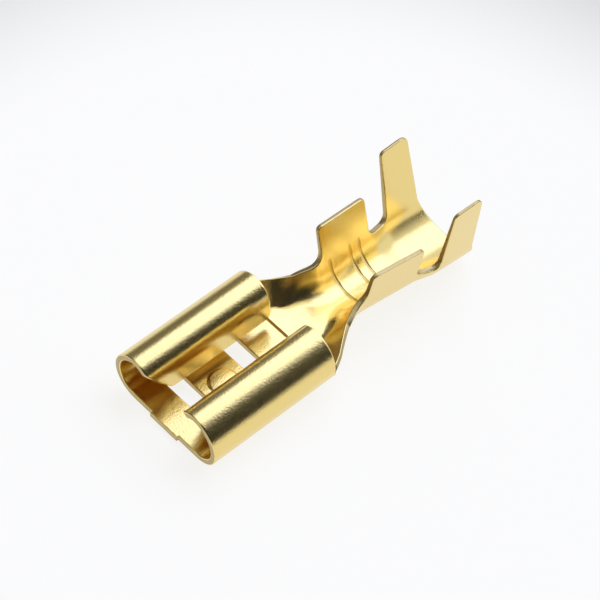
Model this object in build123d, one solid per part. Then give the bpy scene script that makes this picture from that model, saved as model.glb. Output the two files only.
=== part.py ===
from build123d import *
import math
import os

# Female spade terminal for a blade 6.3 mm wide and 0.8 mm thick, stamped and bent from one brass sheet.
# It is drawn with its mouth at x = 0, its wire end towards +X and the receptacle's floor flat on z = 0.
# Then it is laid down as it comes to rest on a table. Lengths are in millimetres, angles in degrees.

# Sheet

sheet = 0.35
overrun = 0.5

# Receptacle: a flat floor whose two edges are curled over it, down to a gap for the blade

receptacle_length = 8.0
floor_half_width = 2.35
side_radius = 1.41
side_turn = 75
roof_radius = 1.83
roof_turn = 81
lip_radius = 1.07
lip_heading = 273
blade_gap = 0.61
lip_rear_round = 0.25

# Lead-in cut across the front corner of each lip

lead_in_height = 1.85
lead_in_length = 1.48
lead_in_round = 0.4

# Floor of the receptacle: two windows with a bridge between them, and the catch button on the bridge

window_1_front = 1.62
window_1_length = 0.95
bridge_length = 2.6
window_2_length = 0.98
window_margin = 0.5
window_corner = 0.1
button_radius = 0.82
button_height = 0.13
mouth_bevel = 0.12
stub_length = 0.12
stub_half_width = 1.0

# Step across the floor, right behind the curls, that stops the blade, with a long slope down behind it

stop_gap = 0.05
stop_margin = 0.85
stop_front_length = 0.1
stop_length = 1.0
stop_height = 0.12
stop_end_length = 0.35

# Neck: low walls that sweep in from the receptacle to the wire barrel

neck_length = 3.95
neck_sweep_start = 0.27
neck_sweep_length = 3.4
neck_sweep_power = 1.3
neck_hollow_start = 0.1
neck_hollow_length = 2.7
neck_shoulder_length = 0.9
neck_shoulder_height = 1.35
neck_wall_height = 1.68
neck_fillet = 0.8

# From the bend in the neck on, the barrels run down towards the wire

bend_length = 2.1
barrel_slope = 7.2
trough_half_flat = 0.1
wing_thinning = 2.2
channel_steps = 20

# Wire barrel, with grooves across its inside that bite into the wire, each placed by its rear edge

wire_wing_length = 3.42
wire_wing_height = 4.3
wire_front_radius = 1.6
wire_rear_radius = 1.83
wire_lean = 10
wire_front_round = 0.3
wire_rear_round = 0.25
groove_places = (0.6, 2.05, 2.73)
groove_width = 0.16
groove_depth = 0.06
groove_rise = 0.7

# Rounded gap between the wire wings and the insulation wings

gap_length = 1.53
gap_floor_height = 1.6
gap_round = 0.55

# Insulation barrel, a little wider and lower than the wire barrel

insulation_radius = 2.12
insulation_lean = 8
insulation_drop = 0.15
insulation_wing_height = 6.45
insulation_top_length = 1.9
insulation_rear_lean = 4.5
insulation_foot_length = 0.6
insulation_foot_height = 1.9
insulation_foot_round = 1.6
insulation_front_round = 0.3
insulation_rear_round = 0.45

# A round may use up to this much of the straight beside it

round_share = 0.48


# Bent strip

def ahead(heading):
    """Unit vector of a heading in the section, where 0 points to the side and 90 points up."""
    return Vector(math.cos(math.radians(heading)), math.sin(math.radians(heading)))


def bent_arcs(start, bends, inset):
    """Arcs, end point and heading of one face of the bent sheet, where inset 0 is its outer face."""
    heading = 0
    point = Vector(start, inset)
    arcs = []
    for radius, turn in bends:
        centre = point + ahead(heading + 90) * (radius - inset)
        arcs.append(CenterArc(centre, radius - inset, heading - 90, turn))
        heading += turn
        point = centre - ahead(heading + 90) * (radius - inset)
    return arcs, point, heading


def strip_face(start, bends, tail, inset):
    """Edges and end point of one face of the bent sheet, with a straight tail after its bends."""
    arcs, point, heading = bent_arcs(start, bends, inset)
    end = point + ahead(heading) * tail
    return arcs + [Line(point, end)], end


def strip_section(half_flat, bends, tail, insets=(0, sheet), thinning=0):
    """Closed section of the bent sheet, alike on both sides, whose tails thin by an angle."""
    outer_inset, inner_inset = insets
    last_radius, last_turn = bends[-1]
    inner_bends = bends[:-1] + [(last_radius, last_turn - thinning)]
    outer, outer_end = strip_face(half_flat, bends, tail, outer_inset)
    inner, inner_end = strip_face(half_flat, inner_bends, tail, inner_inset)
    one_side = outer + inner + [Line(outer_end, inner_end)]
    other_side = [mirror(line, about=Plane.YZ) for line in one_side]
    under = Line((-half_flat, outer_inset), (half_flat, outer_inset))
    over = Line((-half_flat, inner_inset), (half_flat, inner_inset))
    edges = [edge for line in one_side + other_side + [under, over] for edge in line.edges()]
    return Face(Wire(edges))


def stood(section, x, height=0):
    """A section stood across the terminal at x, lifted by height."""
    return Plane((x, 0, height), x_dir=(0, 1, 0), z_dir=(1, 0, 0)) * section


def side_prism(outline, half_width):
    """An outline drawn in the side view, made solid on both sides of the middle."""
    return extrude(Plane.XZ * outline, amount=half_width, both=True)


def rounded_outline(corners):
    """Closed outline through corners given as point and radius, each radius kept to its straights."""
    points = [Vector(*point) for point, _ in corners]
    radii = []
    for index, (_, radius) in enumerate(corners):
        before = points[index - 1] - points[index]
        after = points[(index + 1) % len(points)] - points[index]
        half_turn = math.radians(180 - before.get_angle(after)) / 2
        room = round_share * min(before.length, after.length) / math.tan(half_turn)
        radii.append(min(radius, room))
    return make_face(FilletPolyline(*points, radius=radii, close=True))


def nearest_edge(body, point):
    """The edge whose middle is nearest to a point."""
    return min(body.edges(), key=lambda edge: (edge.position_at(0.5) - Vector(point)).length)


# Receptacle

def curl_bends():
    """Radius and turn of the three bends of a curl."""
    lip_turn = lip_heading - side_turn - roof_turn
    return [(side_radius, side_turn), (roof_radius, roof_turn), (lip_radius, lip_turn)]


def tip_height():
    """Height of the tips of the lips, over the gap for the blade."""
    return sheet + blade_gap


def lip_length():
    """Straight length of a lip, from its bend down to its tip."""
    _, bend_end, heading = bent_arcs(floor_half_width, curl_bends(), 0)
    return (bend_end.Y - tip_height()) / -ahead(heading).Y


def curl_half_width():
    """Half width of the receptacle over its curls."""
    arcs, _, _ = bent_arcs(floor_half_width, curl_bends(), 0)
    return max(arc.bounding_box().max.X for arc in arcs)


def roof_end():
    """Sideways place where a roof bends down into its lip."""
    _, point, _ = bent_arcs(floor_half_width, curl_bends()[:2], 0)
    return point.X


def side_height():
    """Height at which the side bend of a curl passes into its roof."""
    _, point, _ = bent_arcs(floor_half_width, curl_bends()[:1], 0)
    return point.Y


def window_half_width():
    """Half width of the windows, short of the creases."""
    return floor_half_width - window_margin


def button_place():
    """Middle of the bridge between the windows."""
    return window_1_front + window_1_length + bridge_length / 2


def receptacle():
    """Floor and curls, with their lead-in, windows and rounded lips."""
    section = strip_section(floor_half_width, curl_bends(), lip_length())
    body = extrude(stood(section, 0), amount=receptacle_length)
    body = chamfer(nearest_edge(body, (0, 0, sheet)), mouth_bevel)
    body = rounded_lips(body)
    body -= lead_in()
    body -= window(window_1_front, window_1_length)
    body -= window(window_1_front + window_1_length + bridge_length, window_2_length)
    return body + stub()


def rounded_lips(body):
    """The receptacle with the lower rear corner of each lip rounded."""
    _, outer_tip = strip_face(floor_half_width, curl_bends(), lip_length(), 0)
    _, inner_tip = strip_face(floor_half_width, curl_bends(), lip_length(), sheet)
    middle = (outer_tip + inner_tip) / 2
    corners = [nearest_edge(body, (receptacle_length, side * middle.X, middle.Y)) for side in (-1, 1)]
    return fillet(corners, lip_rear_round)


def lead_in():
    """Cutter that takes the front corner off both lips, with a rounded end at the tips."""
    tip = tip_height()
    floor = tip - blade_gap / 2
    slope = lead_in_height / lead_in_length
    rear = lead_in_length + lead_in_round
    corners = [
        ((-overrun, tip + lead_in_height + overrun * slope), 0),
        ((lead_in_length, tip), lead_in_round),
        ((rear, tip), 0),
        ((rear, floor), 0),
        ((-overrun, floor), 0),
    ]
    return side_prism(rounded_outline(corners), roof_end())


def window(front, length):
    """Cutter for one window across the floor."""
    hole = Pos(front + length / 2, 0) * RectangleRounded(length, 2 * window_half_width(), window_corner)
    return Pos(0, 0, -overrun) * extrude(hole, amount=sheet + 2 * overrun)


def stub():
    """What is left of the strip that carried the terminals, at the front of the floor."""
    length = stub_length + window_1_front / 2
    bar = Box(length, 2 * stub_half_width, sheet, align=(Align.MIN, Align.CENTER, Align.MIN))
    return Pos(-stub_length, 0, 0) * bar


def pressed(form):
    """Bump over the floor and hollow under it that a form pressed up from below leaves."""
    size = form.bounding_box().size
    room = Box(size.X, size.Y, size.Z, align=(Align.CENTER, Align.CENTER, Align.MIN))
    room = Pos(form.bounding_box().center().X, 0, 0) * room
    hollow = form & room
    return Pos(0, 0, sheet) * hollow, hollow


def button():
    """Ball whose cap is the catch button, which snaps into the hole of the blade."""
    ball_radius = (button_radius ** 2 + button_height ** 2) / (2 * button_height)
    return Pos(button_place(), 0, button_height - ball_radius) * Sphere(ball_radius)


def stop_step():
    """Wedge whose steep front is the step that stops the blade, sloped down at both ends too."""
    front = receptacle_length + stop_gap
    half_width = floor_half_width - stop_margin
    low_half_width = half_width - stop_end_length
    crest = front + stop_front_length
    wedge = Polyline((front, 0), (crest, stop_height), (front + stop_length, 0), close=True)
    left_half = [(half_width, 0), (low_half_width, stop_height)]
    right_half = [(-low_half_width, stop_height), (-half_width, 0)]
    hill = Polyline(*left_half, *right_half, close=True)
    across = extrude(stood(make_face(hill), front - overrun), amount=stop_length + 2 * overrun)
    return side_prism(make_face(wedge), half_width) & across


# Neck and barrels

def wire_front():
    """Front edge of the wire wings."""
    return receptacle_length + neck_length


def wire_rear():
    """Rear edge of the wire wings."""
    return wire_front() + wire_wing_length


def insulation_front():
    """Front edge of the insulation wings."""
    return wire_rear() + gap_length


def rear_top():
    """Rear top corner of the insulation wings in the side view."""
    return insulation_front() + insulation_top_length


def rear_end():
    """Rear end of the trough."""
    rise = insulation_wing_height - insulation_foot_height
    return rear_top() + rise * math.tan(math.radians(insulation_rear_lean)) + insulation_foot_length


def wing_blank():
    """Wall length that reaches over every wing before the outline is cut."""
    return max(wire_wing_height, insulation_wing_height) + overrun


def drop(x):
    """How far the barrels lie under the receptacle's floor at x."""
    past_bend = x - receptacle_length - bend_length
    return max(0, past_bend) * math.tan(math.radians(barrel_slope))


def passed(x, start, end):
    """Share of the way from start to end that lies before x, from 0 to 1."""
    return min(1, max(0, (x - start) / (end - start)))


def eased(share):
    """A share from 0 to 1, made to start and end gently."""
    return share * share * (3 - 2 * share)


def channel_shape(x):
    """Half width of the flat bottom, radius, lean of the walls and drop of the channel at x."""
    sweep_start = receptacle_length + neck_sweep_start
    along = passed(x, sweep_start, sweep_start + neck_sweep_length)
    narrow = 1 - (1 - along) ** neck_sweep_power
    hollow_start = receptacle_length + neck_hollow_start
    hollow = eased(passed(x, hollow_start, hollow_start + neck_hollow_length))
    wire = passed(x, wire_front(), wire_rear())
    eased_step = eased(passed(x, wire_rear(), insulation_front()))
    half_flat = floor_half_width + hollow * (trough_half_flat - floor_half_width)
    wide = floor_half_width + side_radius
    slim = trough_half_flat + wire_front_radius
    radius = wide + narrow * (slim - wide) - half_flat
    radius += wire * (wire_rear_radius - wire_front_radius)
    radius += eased_step * (insulation_radius - wire_rear_radius)
    lean = wire_lean + eased_step * (insulation_lean - wire_lean)
    return half_flat, radius, lean, drop(x) + eased_step * insulation_drop


def channel_section(x):
    """Section of the channel at x, a flat or round bottom with thinning walls that lean outwards."""
    half_flat, radius, lean, fall = channel_shape(x)
    section = strip_section(half_flat, [(radius, 90 - lean)], wing_blank(), thinning=wing_thinning)
    return stood(section, x, -fall)


def channel():
    """Neck, wire barrel and insulation barrel as one smooth channel with tall walls."""
    span = rear_end() - receptacle_length
    places = [receptacle_length + span * index / channel_steps for index in range(channel_steps + 1)]
    return loft([channel_section(x) for x in places])


def over_barrel(x, height):
    """Point of the side view at a height over the bottom of the barrels."""
    return x, height - drop(x)


def wing_outline():
    """Side view of the neck and both pairs of wings."""
    top = insulation_wing_height - drop(insulation_front()) - insulation_drop
    foot = rear_end() - insulation_foot_length
    corners = [
        ((receptacle_length, -overrun), 0),
        ((receptacle_length, side_height()), 0),
        ((receptacle_length + neck_shoulder_length, neck_shoulder_height), neck_fillet),
        ((wire_front(), neck_wall_height), neck_fillet),
        (over_barrel(wire_front(), wire_wing_height), wire_front_round),
        (over_barrel(wire_rear(), wire_wing_height), wire_rear_round),
        (over_barrel(wire_rear(), gap_floor_height), gap_round),
        (over_barrel(insulation_front(), gap_floor_height), gap_round),
        ((insulation_front(), top), insulation_front_round),
        ((rear_top(), top), insulation_rear_round),
        (over_barrel(foot, insulation_foot_height), insulation_foot_round),
        (over_barrel(rear_end(), -insulation_drop), 0),
        (over_barrel(rear_end(), -insulation_drop - overrun), 0),
    ]
    return rounded_outline(corners)


def grooves():
    """Cutters for the grooves of the wire barrel, each following the channel's inside."""
    cutters = []
    for place in groove_places:
        x = wire_front() + place - groove_width
        half_flat, radius, lean, fall = channel_shape(x)
        insets = (sheet - groove_depth, sheet + groove_depth)
        ring = strip_section(half_flat, [(radius, 90 - lean)], groove_rise, insets)
        cutters.append(extrude(stood(ring, x, -fall), amount=groove_width))
    return cutters


def barrels():
    """The channel cut to the outline of its wings, with its grooves."""
    body = channel() & side_prism(wing_outline(), curl_half_width() + wing_blank())
    for cutter in grooves():
        body -= cutter
    return body


# Whole terminal

def laid_down(body):
    """The terminal as it rests, on the front of its floor and the rear of its trough."""
    fall = drop(rear_end()) + insulation_drop
    pitch = math.degrees(math.atan2(fall, rear_end() + stub_length))
    body = body.rotate(Axis.Y, -pitch)
    box = body.bounding_box()
    return body.translate((-box.center().X, 0, -box.min.Z))


def terminal():
    """One piece of bent sheet."""
    body = receptacle() + barrels()
    for form in (button(), stop_step()):
        bump, hollow = pressed(form)
        body = body + bump - hollow
    return laid_down(body)


os.makedirs("parts", exist_ok=True)
export_step(terminal(), "parts/terminal.step")
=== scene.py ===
"""Visual model of a bare brass female spade terminal: a stamped blank, folded as its press folds it.

The blank is drawn flat, along the terminal from its mouth to its wire end and across it from its middle.
Each of its points is folded by the section that the terminal has there, and the whole is laid down as it
rests on a table. Lengths are in millimetres and angles in degrees, unless a comment says otherwise.
"""

import logging
import math
from dataclasses import dataclass, field
from enum import Enum

import bmesh
import bpy
from mathutils import Matrix, Vector


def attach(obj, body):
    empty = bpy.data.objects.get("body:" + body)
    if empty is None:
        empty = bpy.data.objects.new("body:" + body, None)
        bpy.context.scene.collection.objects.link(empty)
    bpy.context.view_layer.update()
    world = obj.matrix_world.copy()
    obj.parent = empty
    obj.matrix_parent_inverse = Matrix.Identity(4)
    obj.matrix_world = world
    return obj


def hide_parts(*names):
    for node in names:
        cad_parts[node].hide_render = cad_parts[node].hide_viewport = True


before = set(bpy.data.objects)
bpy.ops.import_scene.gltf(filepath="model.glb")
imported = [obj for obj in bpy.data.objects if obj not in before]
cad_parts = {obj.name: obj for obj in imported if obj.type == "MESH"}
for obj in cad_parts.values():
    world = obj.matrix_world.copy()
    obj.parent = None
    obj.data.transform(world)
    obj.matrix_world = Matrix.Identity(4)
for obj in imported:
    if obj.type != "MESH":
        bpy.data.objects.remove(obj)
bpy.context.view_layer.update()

log = logging.getLogger("terminal")

Tree = bpy.types.NodeTree
Socket = bpy.types.NodeSocket

METRE = 0.001
"""One millimetre of the drawing, in metres."""

SAME_PLACE = 1e-4
"""Distance under which two points of the flat blank are one."""

ROUND_SHARE = 0.48
"""Share of an edge of the outline that the round at one of its ends may take."""

LEAST_FLAT = 0.02
"""Half width that the flat bottom of a flared section keeps."""

MIX_FACTOR, MIX_UNDER, MIX_OVER, MIX_RESULT = 0, 6, 7, 2
"""Places of the Mix node's colour sockets, whose names its other sockets share."""


def smooth_ramp(place: float, start: float, end: float, ease: float) -> float:
    """Ramp from 0 at start to 1 at end, read at a place, each corner rounded over twice the ease."""
    return (soft_rise(place - start, ease) - soft_rise(place - end, ease)) / (end - start)


def soft_rise(place: float, ease: float) -> float:
    """Line that is level before 0 and rises one to one after it, with a rounded corner.

    Args:
        place: Where the line is read.
        ease: Half the length of the rounded corner.

    Returns:
        The line's height at the place.
    """
    if place <= -ease:
        return 0.0
    if place >= ease:
        return place
    return (place + ease) ** 2 / (4 * ease)


def smooth_step(share: float) -> float:
    """Soft step from 0 to 1 as share goes from 0 to 1."""
    share = min(1.0, max(0.0, share))
    return share * share * (3 - 2 * share)


def steps(start: float, end: float, step: float) -> list[float]:
    """Even places from start to end, both among them, about a step apart."""
    count = max(1, round(abs(end - start) / step))
    return [start + (end - start) * index / count for index in range(count + 1)]


# The sheet and its folds


@dataclass(frozen=True)
class Bend:
    """One bend of the sheet.

    Attributes:
        radius: Radius of the sheet's outer face.
        turn: Angle of the bend.
    """

    radius: float
    turn: float


@dataclass(frozen=True)
class Section:
    """Section of the folded sheet at one place along the terminal, alike on both sides.

    Attributes:
        half_flat: Half width of its flat bottom.
        bends: Bends on the way up from the bottom.
        fall: How far it lies under the receptacle's floor.
        thinning: Angle at which the wall behind the last bend gets thinner.
    """

    half_flat: float
    bends: tuple[Bend, ...]
    fall: float = 0.0
    thinning: float = 0.0

    def place(self, across: float, through: float, thickness: float) -> tuple[float, float]:
        """Folds one point of the flat blank.

        Args:
            across: Distance from the middle of the blank.
            through: Height over the sheet's outer face.
            thickness: Thickness of the sheet.

        Returns:
            Sideways place and height of the folded point.
        """
        rest = abs(across)
        y, z, heading = min(rest, self.half_flat), 0.0, 0.0
        rest -= y
        for bend in self.bends:
            fibre = bend.radius - thickness / 2
            turn = min(math.radians(bend.turn), max(rest, 0.0) / fibre)
            y += bend.radius * (math.sin(heading + turn) - math.sin(heading))
            z += bend.radius * (math.cos(heading) - math.cos(heading + turn))
            heading += turn
            rest -= turn * fibre
            if rest <= 0:
                break
        if rest > 0:
            y += rest * math.cos(heading)
            z += rest * math.sin(heading)
            through *= 1 - rest * math.tan(math.radians(self.thinning)) / thickness
        y -= through * math.sin(heading)
        z += through * math.cos(heading)
        return math.copysign(y, across), z - self.fall

    def reach(self, height: float) -> float:
        """Sideways place of the outer face at a height.

        Args:
            height: Height over the bottom.

        Returns:
            Distance from the middle.
        """
        bend = self.bends[0]
        full = math.radians(bend.turn)
        top = bend.radius * (1 - math.cos(full))
        if height <= top:
            return self.half_flat + bend.radius * math.sin(math.acos(1 - height / bend.radius))
        return self.half_flat + bend.radius * math.sin(full) + (height - top) / math.tan(full)

    def flared(self, share: float, angle: float, tightness: float, reach: float, rim: float) -> "Section":
        """Section whose walls lean further out.

        Args:
            share: How much of the flare it has, from 0 to 1.
            angle: How much less its walls turn up where it is full.
            tightness: Share by which its bend gets tighter where it is full.
            reach: How far its rim moves out where it is full.
            rim: Height of the rim.

        Returns:
            The flared section.
        """
        bend = self.bends[0]
        new = Bend(bend.radius * (1 - share * tightness), bend.turn - share * angle)
        trial = Section(self.half_flat, (new,), self.fall, self.thinning)
        half_flat = self.half_flat + share * reach + self.reach(rim) - trial.reach(rim)
        return Section(max(LEAST_FLAT, half_flat), (new,), self.fall, self.thinning)

    def across_at(self, height: float, thickness: float) -> float:
        """Place on the blank whose middle layer folds up to a height.

        Args:
            height: Height over the bottom.
            thickness: Thickness of the sheet.

        Returns:
            Distance from the middle of the blank.
        """
        bend = self.bends[0]
        fibre = bend.radius - thickness / 2
        full = math.radians(bend.turn)
        top = bend.radius - fibre * math.cos(full)
        if height <= top:
            return self.half_flat + fibre * math.acos(min(1.0, (bend.radius - height) / fibre))
        return self.half_flat + fibre * full + (height - top) / math.sin(full)


@dataclass(frozen=True)
class Corner:
    """Corner of the blank's outline.

    Attributes:
        along: Place along the terminal.
        across: Distance from the middle of the blank.
        radius: Radius of its round, or 0 where it is sharp.
    """

    along: float
    across: float
    radius: float = 0.0


@dataclass(frozen=True)
class Sheet:
    """The brass sheet, and how finely it is divided before it is folded.

    Attributes:
        thickness: Its thickness.
        edge_round: Radius of the round that stamping leaves on its edges.
        round_line: Angle on that round at which it has a line of points.
        round_segments: Segments of a rounded corner of the outline.
        step_button: Distance between the dividing lines over the catch button.
        step_side: The same where the sheet is bent.
        step_wing: The same where it stays straight.
        least_edge: Length under which an edge of the divided blank is closed up.
    """

    thickness: float = 0.35
    edge_round: float = 0.05
    round_line: float = 45.0
    round_segments: int = 5
    step_button: float = 0.04
    step_side: float = 0.13
    step_wing: float = 0.24
    least_edge: float = 0.001


# Finishes


class Part(Enum):
    """Where on the sheet a face lies."""

    FACE = 0
    CUT = 1


@dataclass(frozen=True)
class Brass:
    """Brass finish of one kind of face.

    Attributes:
        name: Name of the material.
        tint: Colour of the metal, as red, green and blue.
        roughness: Lowest and highest roughness.
        grain: Cells of the fine grain in a metre.
        grain_depth: Depth of the fine grain, in metres.
        wave: Cells of the soft unevenness in a metre.
        wave_depth: Depth of the soft unevenness, in metres.
        grain_detail: Finer layers in the grain.
        wave_detail: Finer layers in the unevenness.
        grain_span: Stretch of the grain that the whole roughness is spread over.
    """

    name: str
    tint: tuple[float, float, float]
    roughness: tuple[float, float]
    grain: float
    grain_depth: float
    wave: float
    wave_depth: float
    grain_detail: float = 3.0
    wave_detail: float = 2.0
    grain_span: tuple[float, float] = (0.3, 0.7)

    def material(self) -> bpy.types.Material:
        """Makes the node material of this finish.

        Returns:
            The material.
        """
        made = bpy.data.materials.new(self.name)
        made.use_nodes = True
        tree = made.node_tree
        shader = tree.nodes["Principled BSDF"]
        shader.inputs["Metallic"].default_value = 1.0
        shader.inputs["Base Color"].default_value = (*self.tint, 1.0)
        place = tree.nodes.new("ShaderNodeTexCoord").outputs["Object"]
        wave = self.noise(tree, place, self.wave, self.wave_detail)
        grain = self.noise(tree, place, self.grain, self.grain_detail)
        rough = tree.nodes.new("ShaderNodeMapRange")
        rough.inputs["From Min"].default_value, rough.inputs["From Max"].default_value = self.grain_span
        rough.inputs["To Min"].default_value, rough.inputs["To Max"].default_value = self.roughness
        tree.links.new(grain, rough.inputs["Value"])
        tree.links.new(rough.outputs["Result"], shader.inputs["Roughness"])
        coarse = self.bump(tree, wave, self.wave_depth)
        fine = self.bump(tree, grain, self.grain_depth)
        tree.links.new(coarse.outputs["Normal"], fine.inputs["Normal"])
        tree.links.new(fine.outputs["Normal"], shader.inputs["Normal"])
        return made

    def noise(self, tree: Tree, place: Socket, scale: float, detail: float) -> Socket:
        """Adds a noise pattern over the metal.

        Args:
            tree: Node tree of the material.
            place: Object coordinates.
            scale: Cells in a metre.
            detail: Finer layers.

        Returns:
            The pattern.
        """
        node = tree.nodes.new("ShaderNodeTexNoise")
        node.inputs["Scale"].default_value = scale
        node.inputs["Detail"].default_value = detail
        tree.links.new(place, node.inputs["Vector"])
        return node.outputs["Fac"]

    def bump(self, tree: Tree, height: Socket, depth: float) -> bpy.types.Node:
        """Adds a bump from a pattern.

        Args:
            tree: Node tree of the material.
            height: The pattern.
            depth: Depth of the bump, in metres.

        Returns:
            The bump's node.
        """
        node = tree.nodes.new("ShaderNodeBump")
        node.inputs["Strength"].default_value = 1.0
        node.inputs["Distance"].default_value = depth
        tree.links.new(height, node.inputs["Height"])
        return node


FINISHES = {
    Part.FACE: Brass(
        name="rolled_brass",
        tint=(0.84, 0.655, 0.25),
        roughness=(0.17, 0.24),
        grain=11000.0,
        grain_depth=8.0e-6,
        wave=700.0,
        wave_depth=1.5e-6,
    ),
    Part.CUT: Brass(
        name="cut_brass",
        tint=(0.46, 0.36, 0.16),
        roughness=(0.3, 0.42),
        grain=9000.0,
        grain_depth=6.0e-6,
        wave=1500.0,
        wave_depth=8.0e-6,
    ),
}


# Sub-assemblies, each with its own stretch of the blank


@dataclass
class Receptacle:
    """Floor and curls that take the blade, with their lead-in, windows, catch button and stub."""

    sheet: Sheet
    length: float = 8.0

    # Half of the flat floor, then one curl: its side, its roof, the crease down and the lip
    floor_half_width: float = 2.349
    side: Bend = Bend(1.41, 75)
    roof: Bend = Bend(1.83, 81)
    crease: Bend = Bend(1.07, 84)
    lip: Bend = Bend(1.6, 29)
    lip_length: float = 1.016

    # Lead-in cut off the front of the lip, and the round at its rear
    lead_in_length: float = 1.48
    lead_in_reach: float = 1.85
    lead_in_round: float = 0.4
    lip_rear_round: float = 0.25

    # Two windows across the floor
    window_fronts: tuple[float, float] = (1.62, 5.17)
    window_lengths: tuple[float, float] = (0.95, 0.98)
    window_half_width: float = 1.85
    window_corner: float = 0.1

    # Stub left of the strip that carried the terminals
    stub_length: float = 0.12
    stub_half_width: float = 1.0

    # Catch button: a low dome on a step with a soft flank
    button_place: float = 3.87
    button_radius: float = 0.82
    button_height: float = 0.1
    button_step: float = 0.07
    button_flank: float = 0.09

    def section(self) -> Section:
        """Section of the floor and its curls."""
        return Section(self.floor_half_width, (self.side, self.roof, self.crease, self.lip))

    def bent(self, bend: Bend) -> float:
        """Length that a bend takes of the blank."""
        return (bend.radius - self.sheet.thickness / 2) * math.radians(bend.turn)

    def tip(self) -> float:
        """Distance from the middle of the blank to the tip of a lip."""
        bent = sum(self.bent(bend) for bend in self.section().bends)
        return self.floor_half_width + bent + self.lip_length

    def side_end(self) -> float:
        """Distance from the middle of the blank at which the side passes into the roof."""
        return self.floor_half_width + self.bent(self.side)

    def middle_line(self) -> list[Corner]:
        """Draws the outline along the middle of the blank, round one half of each window.

        Returns:
            Corners from the stub to the neck.
        """
        corners = [Corner(-self.stub_length, 0.0)]
        for front, length in zip(self.window_fronts, self.window_lengths):
            corners += [
                Corner(front, 0.0),
                Corner(front, self.window_half_width, self.window_corner),
                Corner(front + length, self.window_half_width, self.window_corner),
                Corner(front + length, 0.0),
            ]
        return corners

    def curl_line(self) -> list[Corner]:
        """Draws the outline of the curl.

        Returns:
            Corners from its rear end over the lip and round the mouth to the stub.
        """
        tip = self.tip()
        return [
            Corner(self.length, self.side_end()),
            Corner(self.length, tip, self.lip_rear_round),
            Corner(self.lead_in_length, tip, self.lead_in_round),
            Corner(0.0, tip - self.lead_in_reach, self.lead_in_round),
            Corner(0.0, self.stub_half_width),
            Corner(-self.stub_length, self.stub_half_width),
        ]

    def button(self, along: float, across: float) -> float:
        """Catch button pressed up from the floor.

        Args:
            along: Place along the terminal.
            across: Distance from the middle of the blank.

        Returns:
            Height that the floor is pressed up there.
        """
        dome = self.button_height - self.button_step
        ball = (self.button_radius**2 + dome**2) / (2 * dome)
        away = math.hypot(along - self.button_place, across)
        if away >= self.button_radius:
            return 0.0
        cap = math.sqrt(ball**2 - away**2) - (ball - dome)
        return cap + self.button_step * smooth_step((self.button_radius - away) / self.button_flank)


@dataclass
class Neck:
    """Low walls that sweep in behind the receptacle, with the step that stops the blade."""

    receptacle: Receptacle

    # How the walls sweep in, and how the floor gets hollow
    sweep_start: float = 0.27
    sweep_length: float = 3.4
    sweep_power: float = 1.3
    sweep_ease: float = 0.3
    hollow_start: float = 0.1
    hollow_length: float = 2.7

    # Rim of the walls, from the shoulder behind the curls to the wire wings
    shoulder_length: float = 0.9
    shoulder_height: float = 1.27
    wall_height: float = 1.68
    wall_step: float = 0.4
    rim_climb: float = 0.12
    corner_round: float = 0.8

    # Stop: a steep front, a long slope behind it and soft ends
    stop_gap: float = 0.05
    stop_half_width: float = 1.95
    stop_front: float = 0.1
    stop_length: float = 1.0
    stop_height: float = 0.12
    stop_end: float = 0.3
    stop_lines: int = 6
    stop_near_lines: int = 4

    # How the walls lean out behind the curls, with a tighter bend and a rim further out
    flare: float = 42.0
    flare_rise: float = 0.34
    flare_full: float = 1.0
    flare_fall: float = 2.6
    flare_tightness: float = 0.45
    flare_reach: float = 0.16

    def flaring(self, along: float) -> float:
        """How far the walls lean out at a place.

        Args:
            along: Place along the terminal.

        Returns:
            Share of the full flare.
        """
        away = along - self.receptacle.length
        rise = smooth_step(away / self.flare_rise)
        return rise * (1 - smooth_step((away - self.flare_full) / self.flare_fall))

    def rim(self, along: float) -> float:
        """Height of the walls' rim at a place along the terminal."""
        share = (along - self.receptacle.length) / self.shoulder_length
        return self.shoulder_height + max(0.0, share - 1) * self.rim_climb

    def narrowing(self, along: float) -> float:
        """How far the walls have swept in at a place.

        Args:
            along: Place along the terminal.

        Returns:
            Share of the way from the receptacle's width to the barrel's.
        """
        start = self.receptacle.length + self.sweep_start
        share = smooth_ramp(along, start, start + self.sweep_length, self.sweep_ease)
        return 1 - (1 - min(1.0, share)) ** self.sweep_power

    def hollowing(self, along: float) -> float:
        """Share of the way from the flat floor to the barrel's round one at a place along the terminal."""
        return smooth_step((along - self.receptacle.length - self.hollow_start) / self.hollow_length)

    def stop(self, along: float, across: float) -> float:
        """Stop pressed up from the floor.

        Args:
            along: Place along the terminal.
            across: Distance from the middle of the blank.

        Returns:
            Height that the floor is pressed up there.
        """
        away = along - self.receptacle.length - self.stop_gap
        rise = smooth_step(away / self.stop_front)
        slope = min(1.0, max(0.0, (self.stop_length - away) / (self.stop_length - self.stop_front)))
        end = smooth_step((self.stop_half_width - abs(across)) / self.stop_end)
        return self.stop_height * rise * slope * end


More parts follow.
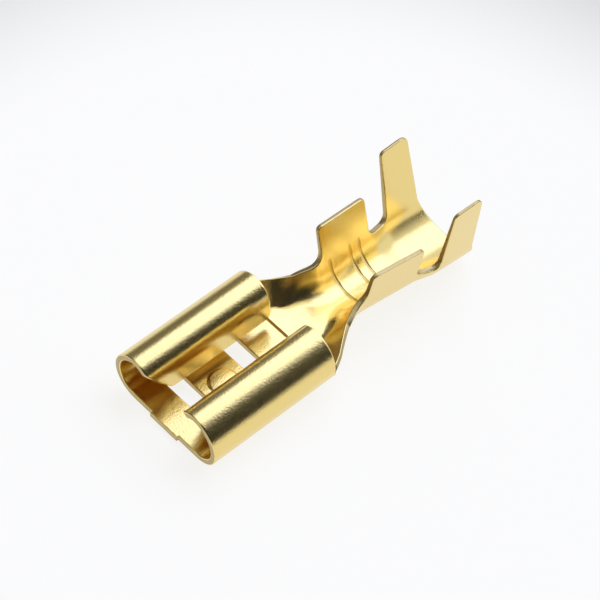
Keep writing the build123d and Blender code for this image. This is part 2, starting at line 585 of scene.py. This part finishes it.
@dataclass
class WireBarrel:
    """Trough and wings that are crimped on the bared wire, with grooves across their inside."""

    front: float = 11.95
    length: float = 3.42
    wing_height: float = 4.3
    front_radius: float = 1.6
    rear_radius: float = 1.83
    lean: float = 10.0
    front_round: float = 0.3
    rear_round: float = 0.25

    # Grooves, each placed by its steep rear edge, that fade out up the wing
    groove_places: tuple[float, ...] = (0.6, 2.05, 2.73)
    groove_width: float = 0.24
    groove_flank: float = 0.07
    groove_depth: float = 0.05
    groove_rise: float = 0.7
    groove_fade: float = 0.5
    groove_lines: int = 4

    def rear(self) -> float:
        """Rear edge of the wings."""
        return self.front + self.length

    def groove(self, along: float, rise: float) -> float:
        """Grooves in the sheet's inner face.

        Args:
            along: Place along the terminal.
            rise: Distance over the trough's round, up the straight of the wing.

        Returns:
            Their depth there.
        """
        profile = 0.0
        for place in self.groove_places:
            before = self.front + place - along
            rear_flank = smooth_step(before / self.groove_flank)
            front_flank = smooth_step((self.groove_width - before) / self.groove_width)
            profile = max(profile, min(rear_flank, front_flank))
        return self.groove_depth * profile * smooth_step((self.groove_rise - rise) / self.groove_fade)


@dataclass
class InsulationBarrel:
    """Wider trough with two tall wings that are crimped round the insulation."""

    wire_rear: float

    # Rounded gap between the wire wings and these wings
    gap_length: float = 1.53
    gap_height: float = 1.6
    gap_round: float = 0.55

    # Trough and wings
    radius: float = 2.12
    lean: float = 8.0
    drop: float = 0.15
    wing_height: float = 6.45
    top_length: float = 1.9
    rear_lean: float = 4.5
    front_round: float = 0.3
    rear_round: float = 0.45

    # Foot of the wings' rear edge, where the trough ends
    foot_length: float = 0.6
    foot_height: float = 1.9
    foot_points: int = 16

    def front(self) -> float:
        """Front edge of the wings."""
        return self.wire_rear + self.gap_length

    def foot(self) -> float:
        """Place along the terminal where the wings' rear edge comes down to the foot."""
        rise = self.wing_height - self.foot_height
        return self.front() + self.top_length + rise * math.tan(math.radians(self.rear_lean))

    def rear(self) -> float:
        """Rear end of the trough."""
        return self.foot() + self.foot_length


@dataclass
class Terminal:
    """The whole terminal: a flat blank from the outlines of its stretches, then folded and laid down."""

    sheet: Sheet = Sheet()

    # From the bend in the neck on, the barrels run down towards the wire
    bend_place: float = 10.1
    bend_ease: float = 0.5
    barrel_slope: float = 7.2

    # What both barrels share
    trough_half_flat: float = 0.1
    ramp_ease: float = 0.6
    wing_thinning: float = 2.2

    receptacle: Receptacle = field(init=False)
    neck: Neck = field(init=False)
    wire: WireBarrel = field(init=False)
    insulation: InsulationBarrel = field(init=False)

    def __post_init__(self) -> None:
        """Makes the stretches of the terminal."""
        self.receptacle = Receptacle(self.sheet)
        self.neck = Neck(self.receptacle)
        self.wire = WireBarrel()
        self.insulation = InsulationBarrel(self.wire.rear())

    # Folding

    def fall(self, along: float) -> float:
        """How far the barrels lie under the receptacle's floor at a place along the terminal."""
        return soft_rise(along - self.bend_place, self.bend_ease) * math.tan(math.radians(self.barrel_slope))

    def section(self, along: float) -> Section:
        """Section of the folded sheet at a place.

        Args:
            along: Place along the terminal.

        Returns:
            The receptacle's section, or one between the stretches behind it.
        """
        receptacle, neck, wire, insulation = self.receptacle, self.neck, self.wire, self.insulation
        if along <= receptacle.length:
            return receptacle.section()
        hollow = neck.hollowing(along)
        widening = smooth_ramp(along, wire.front, wire.rear(), self.ramp_ease)
        step = smooth_step((along - wire.rear()) / insulation.gap_length)
        wide = receptacle.floor_half_width + receptacle.side.radius
        slim = self.trough_half_flat + wire.front_radius
        half_flat = receptacle.floor_half_width * (1 - hollow) + self.trough_half_flat * hollow
        radius = wide + neck.narrowing(along) * (slim - wide) - half_flat
        radius += widening * (wire.rear_radius - wire.front_radius)
        radius += step * (insulation.radius - wire.rear_radius)
        lean = wire.lean + step * (insulation.lean - wire.lean)
        fall = self.fall(along) + step * insulation.drop
        plain = Section(half_flat, (Bend(radius, 90 - lean),), fall, self.wing_thinning)
        share, rim = neck.flaring(along), neck.rim(along)
        return plain.flared(share, neck.flare, neck.flare_tightness, neck.flare_reach, rim)

    def folded(self, along: float, across: float, through: float) -> Vector:
        """Folds one point of the flat blank, with the forms pressed into it.

        Args:
            along: Place along the terminal.
            across: Distance from the middle of the blank, negative on the right.
            through: Height over the sheet's outer face.

        Returns:
            The folded point in the drawing's frame.
        """
        section = self.section(along)
        bend = section.bends[0]
        straight = section.half_flat + (bend.radius - self.sheet.thickness / 2) * math.radians(bend.turn)
        groove = self.wire.groove(along, abs(across) - straight)
        through -= groove * through / self.sheet.thickness
        y, z = section.place(across, through, self.sheet.thickness)
        return Vector((along, y, z + self.receptacle.button(along, across) + self.neck.stop(along, across)))

    def laid(self) -> Matrix:
        """Turns the drawing's frame as the terminal rests on the table, and makes it metres.

        Returns:
            The turn and scale.
        """
        rear = self.insulation.rear()
        slope = math.tan(math.radians(self.barrel_slope))
        fall = (rear - self.bend_place) * slope + self.insulation.drop
        pitch = math.atan2(fall, rear + self.receptacle.stub_length)
        return Matrix.Scale(METRE, 4) @ Matrix.Rotation(-pitch, 4, "Y")

    # Outline of the left half of the blank

    def outline(self) -> list[Corner]:
        """Joins the outlines of the stretches.

        Returns:
            Corners from the stub along the middle to the rear, and back along the rim.
        """
        return (
            self.receptacle.middle_line()
            + [Corner(self.insulation.rear(), 0.0)]
            + self.foot_line()
            + self.insulation_line()
            + self.wire_line()
            + self.neck_line()
            + self.receptacle.curl_line()
        )

    def corner(self, along: float, height: float, radius: float = 0.0) -> Corner:
        """Corner of the outline that folds up to a height over the bottom of the channel."""
        return Corner(along, self.section(along).across_at(height, self.sheet.thickness), radius)

    def foot_line(self) -> list[Corner]:
        """Draws the trough's rear end.

        Returns:
            Corners from its middle up to the foot of the insulation wing.
        """
        barrel, thickness = self.insulation, self.sheet.thickness
        foot = barrel.foot()
        full = barrel.foot_height + barrel.drop
        reach = self.corner(foot, full).across
        corners = []
        for index in range(1, barrel.foot_points + 1):
            across = reach * index / barrel.foot_points
            _, height = self.section(foot).place(across, thickness / 2, thickness)
            share = (height + self.fall(foot) + barrel.drop) / full
            corners.append(Corner(barrel.rear() - share * barrel.foot_length, across))
        return corners

    def insulation_line(self) -> list[Corner]:
        """Draws the insulation wing.

        Returns:
            Corners from the foot forwards.
        """
        barrel = self.insulation
        front = barrel.front()
        top = front + barrel.top_length
        level = barrel.wing_height + self.fall(top) - self.fall(front)
        return [
            self.corner(top, level, barrel.rear_round),
            self.corner(front, barrel.wing_height, barrel.front_round),
            self.corner(front, barrel.gap_height + barrel.drop, barrel.gap_round),
        ]

    def wire_line(self) -> list[Corner]:
        """Draws the gap and the wire wing.

        Returns:
            Corners from the rear forwards.
        """
        barrel, gap, neck = self.wire, self.insulation, self.neck
        return [
            self.corner(barrel.rear(), gap.gap_height, gap.gap_round),
            self.corner(barrel.rear(), barrel.wing_height, barrel.rear_round),
            self.corner(barrel.front, barrel.wing_height, barrel.front_round),
            self.corner(barrel.front, neck.wall_height + self.fall(barrel.front), neck.corner_round),
        ]

    def neck_line(self) -> list[Corner]:
        """Draws the neck's wall.

        Returns:
            Corners from the wire wing forwards to the receptacle.
        """
        neck, corners = self.neck, []
        start = self.receptacle.length + neck.shoulder_length
        end = self.wire.front - 2 * neck.corner_round
        for along in reversed(steps(start, end, neck.wall_step)):
            share = (along - start) / (self.wire.front - start)
            height = neck.shoulder_height + share * (neck.wall_height - neck.shoulder_height)
            corners.append(self.corner(along, height + self.fall(along)))
        return corners

    # The blank

    def blank(self) -> bmesh.types.BMesh:
        """Makes the flat blank, alike on both sides.

        Returns:
            The blank, with the edge's round held in a layer of its corners.
        """
        bm = bmesh.new()
        corners = self.outline()
        verts = [bm.verts.new((corner.along, corner.across, 0.0)) for corner in corners]
        bm.faces.new(verts)
        for vert, corner in zip(verts, corners):
            if corner.radius:
                self.round_corner(bm, vert, corner.radius)
        geom = bm.verts[:] + bm.edges[:] + bm.faces[:]
        bmesh.ops.mirror(bm, geom=geom, axis="Y", merge_dist=SAME_PLACE)
        bmesh.ops.recalc_face_normals(bm, faces=bm.faces[:])
        self.rim(bm)
        self.divide(bm)
        bmesh.ops.remove_doubles(bm, verts=bm.verts[:], dist=self.sheet.least_edge)
        bmesh.ops.solidify(bm, geom=bm.faces[:], thickness=self.sheet.thickness)
        lowest = min(vert.co.z for vert in bm.verts)
        bmesh.ops.translate(bm, verts=bm.verts[:], vec=(0, 0, -lowest))
        bmesh.ops.recalc_face_normals(bm, faces=bm.faces[:])
        return bm

    def round_corner(self, bm: bmesh.types.BMesh, vert: bmesh.types.BMVert, radius: float) -> None:
        """Rounds one corner of the flat outline, no further than its two edges allow.

        Args:
            bm: The blank.
            vert: The corner.
            radius: Radius of the round.
        """
        ways = [edge.other_vert(vert).co - vert.co for edge in vert.link_edges]
        half = ways[0].angle(ways[1]) / 2
        reach = min(radius / math.tan(half), ROUND_SHARE * min(way.length for way in ways))
        bmesh.ops.bevel(
            bm,
            geom=[vert],
            offset=reach,
            offset_type="OFFSET",
            segments=self.sheet.round_segments,
            profile=0.5,
            affect="VERTICES",
            material=-1,
        )

    def rim(self, bm: bmesh.types.BMesh) -> None:
        """Draws lines inside the outline, along which the edge's round leaves the sheet's faces.

        Args:
            bm: The blank.
        """
        size = self.sheet.edge_round
        near = size * (1 - math.cos(math.radians(self.sheet.round_line)))
        layer = bm.verts.layers.float.new("rounding")
        inner = bm.faces[:]
        # The first two rings are the round, and the third keeps the face beside it level
        for width in (near, size - near, size):
            inset = bmesh.ops.inset_region(
                bm, faces=inner, use_boundary=True, use_even_offset=True, thickness=width
            )
            ring = set(inset["faces"])
            inner = [face for face in inner if face not in ring]
        edge = {vert for vert in bm.verts if vert.is_boundary}
        second = {link.other_vert(vert) for vert in edge for link in vert.link_edges} - edge
        for vert in edge:
            vert[layer] = size
        for vert in second:
            vert[layer] = near

    def divide(self, bm: bmesh.types.BMesh) -> None:
        """Cuts the flat blank across and along, finely enough to fold smoothly.

        Args:
            bm: The blank.
        """
        for across in self.lines_across():
            for side in (-1, 1):
                self.cut(bm, Vector((0, side * across, 0)), Vector((0, 1, 0)))
        for along in self.lines_along():
            self.cut(bm, Vector((along, 0, 0)), Vector((1, 0, 0)))

    def cut(self, bm: bmesh.types.BMesh, place: Vector, normal: Vector) -> None:
        """Cuts every face that crosses a plane."""
        geom = bm.verts[:] + bm.edges[:] + bm.faces[:]
        bmesh.ops.bisect_plane(bm, geom=geom, dist=SAME_PLACE, plane_co=place, plane_no=normal)

    def lines_across(self) -> list[float]:
        """Chooses how the blank is divided across.

        Returns:
            Distances from its middle, alike on both sides.
        """
        sheet, receptacle = self.sheet, self.receptacle
        fine = receptacle.button_radius + sheet.step_button
        tip = receptacle.tip()
        lip = tip - receptacle.lip_length
        return (
            steps(sheet.step_button, fine, sheet.step_button)
            + steps(fine, lip, sheet.step_side)
            + steps(lip, tip, sheet.step_wing)
        )

    def lines_along(self) -> list[float]:
        """Chooses how the blank is divided along.

        Returns:
            Places along the terminal.
        """
        sheet, receptacle, neck, wire = self.sheet, self.receptacle, self.neck, self.wire
        curl_end = receptacle.length
        reach = receptacle.button_radius + sheet.step_button
        button_front, button_rear = receptacle.button_place - reach, receptacle.button_place + reach
        stop_start = curl_end + neck.stop_gap
        stop_top = stop_start + neck.stop_front
        flare_end = curl_end + neck.flare_rise
        near = neck.stop_front / neck.stop_near_lines
        lines = steps(0.0, button_front, sheet.step_wing)
        lines += steps(button_front, button_rear, sheet.step_button)
        lines += steps(button_rear, curl_end, sheet.step_wing)
        lines += steps(curl_end, stop_start, near)
        lines += steps(stop_start, stop_top, neck.stop_front / neck.stop_lines)
        lines += steps(stop_top, flare_end, near)
        lines += steps(flare_end, self.insulation.rear(), sheet.step_side)
        for place in wire.groove_places:
            rear = wire.front + place
            lines += steps(rear - wire.groove_width, rear, wire.groove_flank / wire.groove_lines)
        return lines

    # The finished piece

    def piece(self) -> bpy.types.Object:
        """Folds the blank, lays it down with its middle over the origin, and dresses it.

        Returns:
            The terminal's object.
        """
        bm = self.blank()
        self.sort_faces(bm)
        self.fold(bm)
        mesh = bpy.data.meshes.new("folded_terminal")
        bm.to_mesh(mesh)
        bm.free()
        for part in Part:
            mesh.materials.append(FINISHES[part].material())
        piece = bpy.data.objects.new("folded_terminal", mesh)
        bpy.context.scene.collection.objects.link(piece)
        return piece

    def sort_faces(self, bm: bmesh.types.BMesh) -> None:
        """Tells cut edges from the sheet's faces, and keeps the flat blank as the faces' own map.

        Args:
            bm: The blank.
        """
        flat = bm.loops.layers.uv.new("flat")
        for face in bm.faces:
            levels = {round(vert.co.z / self.sheet.thickness) for vert in face.verts}
            face.material_index = Part.CUT.value if len(levels) > 1 else Part.FACE.value
            face.smooth = True
            for loop in face.loops:
                loop[flat].uv = loop.vert.co.xy * METRE

    def fold(self, bm: bmesh.types.BMesh) -> None:
        """Folds the blank, rounds its edges and lays it down.

        Args:
            bm: The blank.
        """
        rounding = bm.verts.layers.float["rounding"]
        for vert in bm.verts:
            inwards = vert[rounding] * (1 if vert.co.z < self.sheet.thickness / 2 else -1)
            vert.co = self.folded(vert.co.x, vert.co.y, vert.co.z + inwards)
        bmesh.ops.transform(bm, matrix=self.laid(), verts=bm.verts[:])
        middle = (min(vert.co.x for vert in bm.verts) + max(vert.co.x for vert in bm.verts)) / 2
        lowest = min(vert.co.z for vert in bm.verts)
        bmesh.ops.translate(bm, verts=bm.verts[:], vec=(-middle, 0, -lowest))
        log.info("blank folded: %d faces, moved by %.5f and %.5f m", len(bm.faces), -middle, -lowest)


# Studio


@dataclass(frozen=True)
class Panel:
    """Soft-edged rectangle of the surroundings, seen from the terminal.

    Attributes:
        azimuth: Direction of its middle, 0 towards +X and 90 towards +Y.
        half_width: Half its width, as an angle.
        elevation: Lower and upper edge, as angles over the floor.
        fade: Width of its soft edge, as a share of its size.
        strength: Brightness, as red, green and blue.
    """

    azimuth: float
    half_width: float
    elevation: tuple[float, float]
    fade: float
    strength: tuple[float, float, float]


@dataclass
class Studio:
    """Pale floor and soft surroundings."""

    # Floor, in metres, with a painted pool of light: its glow is strongest round the terminal
    floor_half: float = 3.0
    floor_tone: float = 0.2
    floor_roughness: float = 0.9
    painted_pool_glow: tuple[float, float] = (0.83, 0.25)
    glow_tint: tuple[float, float, float] = (1.0, 0.995, 0.97)
    painted_pool_reach: tuple[float, float] = (0.02, 0.045)

    # Surroundings, and the panels laid over them in this order
    base: tuple[float, float, float] = (0.3, 0.3, 0.3)
    squareness: float = 4.0
    panels: tuple[Panel, ...] = (
        # Light overhead, which comes down lower beside the mouth
        Panel(0.0, 230.0, (72.0, 110.0), 0.1, (1.0, 1.0, 1.0)),
        Panel(150.0, 62.0, (56.0, 110.0), 0.1, (1.0, 1.0, 1.0)),
        # Dim wall on the left and dark wall on the right
        Panel(85.0, 34.0, (-20.0, 48.0), 0.12, (0.17, 0.17, 0.17)),
        Panel(-98.0, 50.0, (-90.0, 70.0), 0.12, (0.03, 0.03, 0.034)),
        # Pale wall beyond the wire end, with a bright window high in it
        Panel(3.5, 56.5, (-12.0, 62.0), 0.15, (0.94, 0.98, 1.1)),
        Panel(6.0, 57.0, (33.0, 74.0), 0.2, (1.8, 1.95, 2.75)),
    )

    # Reflections that are followed from face to face inside the curls
    glossy_bounces: int = 12

    def floor(self) -> bpy.types.Object:
        """Makes the pale floor, whose material paints a pool of light round the terminal.

        Returns:
            The floor's object.
        """
        bm = bmesh.new()
        bmesh.ops.create_grid(bm, x_segments=1, y_segments=1, size=self.floor_half)
        mesh = bpy.data.meshes.new("floor")
        bm.to_mesh(mesh)
        bm.free()
        mesh.materials.append(self.floor_material())
        floor = bpy.data.objects.new("floor", mesh)
        bpy.context.scene.collection.objects.link(floor)
        return floor

    def floor_material(self) -> bpy.types.Material:
        """Makes the floor's dull material, whose glow is a painted pool of light, strongest round the
        terminal.

        Returns:
            The material.
        """
        made = bpy.data.materials.new("floor")
        made.use_nodes = True
        tree = made.node_tree
        shader = tree.nodes["Principled BSDF"]
        shader.inputs["Base Color"].default_value = (self.floor_tone, self.floor_tone, self.floor_tone, 1.0)
        shader.inputs["Roughness"].default_value = self.floor_roughness
        shader.inputs["Specular IOR Level"].default_value = 0.0
        shader.inputs["Emission Color"].default_value = (*self.glow_tint, 1.0)
        # Painted pool of light: the glow is strongest near the floor's middle, under the terminal, and dims
        # further out
        away = tree.nodes.new("ShaderNodeVectorMath")
        away.operation = "LENGTH"
        tree.links.new(tree.nodes.new("ShaderNodeTexCoord").outputs["Object"], away.inputs[0])
        glow = tree.nodes.new("ShaderNodeMapRange")
        glow.interpolation_type = "SMOOTHSTEP"
        glow.inputs["From Min"].default_value, glow.inputs["From Max"].default_value = self.painted_pool_reach
        glow.inputs["To Min"].default_value, glow.inputs["To Max"].default_value = self.painted_pool_glow
        tree.links.new(away.outputs["Value"], glow.inputs["Value"])
        tree.links.new(glow.outputs["Result"], shader.inputs["Emission Strength"])
        return made

    def surroundings(self) -> None:
        """Makes a world of soft panels, each laid over those before it."""
        world = bpy.data.worlds.new("studio")
        bpy.context.scene.world = world
        world.use_nodes = True
        tree = world.node_tree
        way = tree.nodes.new("ShaderNodeTexCoord").outputs["Generated"]
        level = tree.nodes.new("ShaderNodeRGB").outputs["Color"]
        level.default_value = (*self.base, 1.0)
        for panel in self.panels:
            level = self.panel(tree, way, level, panel)
        tree.links.new(level, tree.nodes["Background"].inputs["Color"])

    def panel(self, tree: Tree, way: Socket, level: Socket, panel: Panel) -> Socket:
        """Lays one panel over the brightness so far.

        Args:
            tree: Node tree of the world.
            way: Direction that is looked in.
            level: Brightness so far.
            panel: The panel.

        Returns:
            Brightness with the panel.
        """
        azimuth = math.radians(panel.azimuth)
        forward = self.along(tree, way, Vector((math.cos(azimuth), math.sin(azimuth), 0.0)))
        aside = self.along(tree, way, Vector((-math.sin(azimuth), math.cos(azimuth), 0.0)))
        height = self.along(tree, way, Vector((0.0, 0.0, 1.0)))
        turn = self.sum_of(tree, "ARCTAN2", aside, forward)
        rise = self.sum_of(tree, "ARCSINE", height)
        low, high = panel.elevation
        across = self.share(tree, turn, 0.0, panel.half_width)
        up = self.share(tree, rise, (low + high) / 2, (high - low) / 2)
        edge = tree.nodes.new("ShaderNodeMapRange")
        edge.interpolation_type = "SMOOTHSTEP"
        edge.inputs["From Min"].default_value = 1 + panel.fade
        edge.inputs["From Max"].default_value = 1 - panel.fade
        tree.links.new(self.sum_of(tree, "ADD", across, up), edge.inputs["Value"])
        mix = tree.nodes.new("ShaderNodeMix")
        mix.data_type = "RGBA"
        tree.links.new(edge.outputs["Result"], mix.inputs[MIX_FACTOR])
        tree.links.new(level, mix.inputs[MIX_UNDER])
        mix.inputs[MIX_OVER].default_value = (*panel.strength, 1.0)
        return mix.outputs[MIX_RESULT]

    def along(self, tree: Tree, way: Socket, axis: Vector) -> Socket:
        """Part of a direction along an axis.

        Args:
            tree: Node tree of the world.
            way: The direction.
            axis: The axis.

        Returns:
            Length along the axis.
        """
        node = tree.nodes.new("ShaderNodeVectorMath")
        node.operation = "DOT_PRODUCT"
        node.inputs[1].default_value = axis
        tree.links.new(way, node.inputs[0])
        return node.outputs["Value"]

    def sum_of(self, tree: Tree, kind: str, *values: Socket | float) -> Socket:
        """Sum of one kind with one or two values.

        Args:
            tree: Node tree of the world.
            kind: Kind of sum.
            values: Sockets or plain numbers that go into it.

        Returns:
            The result.
        """
        node = tree.nodes.new("ShaderNodeMath")
        node.operation = kind
        for value, socket in zip(values, node.inputs):
            if isinstance(value, float):
                socket.default_value = value
            else:
                tree.links.new(value, socket)
        return node.outputs["Value"]

    def share(self, tree: Tree, angle: Socket, middle: float, half: float) -> Socket:
        """How far an angle lies from a panel's middle, raised so that the panel's corners are round.

        Args:
            tree: Node tree of the world.
            angle: The angle, in radians.
            middle: Middle of the panel.
            half: Half its width.

        Returns:
            Share that is 0 at the middle and 1 at the edge.
        """
        shift = self.sum_of(tree, "SUBTRACT", angle, math.radians(middle))
        part = self.sum_of(tree, "DIVIDE", self.sum_of(tree, "ABSOLUTE", shift), math.radians(half))
        return self.sum_of(tree, "POWER", part, self.squareness)

    def exposure(self) -> None:
        """Shows colours as they are, and follows reflections into the curls."""
        bpy.context.scene.view_settings.view_transform = "Standard"
        bpy.context.scene.cycles.glossy_bounces = self.glossy_bounces


@dataclass
class Viewpoint:
    """Camera of the photograph, measured in the drawing's frame.

    Attributes:
        azimuth: Direction from which it looks.
        elevation: Its height over the floor, as an angle.
        roll: How far it is turned about its own axis.
        centre: Point of the terminal that it was aimed at first.
        aside: How far it moves to its own left.
        above: How far it moves down.
        distance: Distance from the centre.
        lens: Focal length.
        sensor: Width of the sensor.
        clip: Nearest and furthest distance that it sees, in metres.
        moved: How far the laid terminal moves to bring its middle over the origin.
    """

    azimuth: float = -43.995
    elevation: float = 52.845
    roll: float = 2.144
    centre: tuple[float, float, float] = (9.63, 0.0, 1.605)
    aside: float = 0.4665
    above: float = -0.293
    distance: float = 129.38
    lens: float = 153.17
    sensor: float = 36.0
    clip: tuple[float, float] = (0.01, 20.0)
    moved: tuple[float, float, float] = (-9.7899, 0.0, 0.0157)

    def camera(self, terminal: Terminal) -> bpy.types.Object:
        """Puts the camera where it stands once the terminal is laid down.

        Args:
            terminal: The terminal.

        Returns:
            The camera's object.
        """
        angles = (self.azimuth, self.elevation, self.roll)
        azimuth, elevation, roll = (math.radians(angle) for angle in angles)
        level = math.cos(elevation)
        back = Vector((math.sin(azimuth) * level, -math.cos(azimuth) * level, math.sin(elevation)))
        right = Vector((0, 0, 1)).cross(back).normalized()
        up = back.cross(right)
        turned_right = math.cos(roll) * right + math.sin(roll) * up
        turned_up = math.cos(roll) * up - math.sin(roll) * right
        place = Vector(self.centre) + back * self.distance
        place = place - turned_right * self.aside - turned_up * self.above
        laid = terminal.laid()
        turn = laid.to_3x3().normalized() @ Matrix((turned_right, turned_up, back)).transposed()
        data = bpy.data.cameras.new("camera")
        data.lens, data.sensor_width = self.lens, self.sensor
        data.clip_start, data.clip_end = self.clip
        camera = bpy.data.objects.new("camera", data)
        moved = Vector(self.moved) * METRE
        camera.matrix_world = Matrix.Translation(laid @ place + moved) @ turn.to_4x4()
        bpy.context.scene.collection.objects.link(camera)
        bpy.context.scene.camera = camera
        return camera


def main() -> None:
    """Builds the terminal, its studio and its camera."""
    logging.basicConfig(level=logging.INFO, format="%(name)s: %(message)s")
    terminal = Terminal()
    piece = terminal.piece()
    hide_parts("terminal")
    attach(piece, "root")
    log.info("piece %s: %d faces", piece.name, len(piece.data.polygons))
    studio = Studio()
    studio.floor()
    studio.surroundings()
    studio.exposure()
    Viewpoint().camera(terminal)


if __name__ == "__main__":
    main()
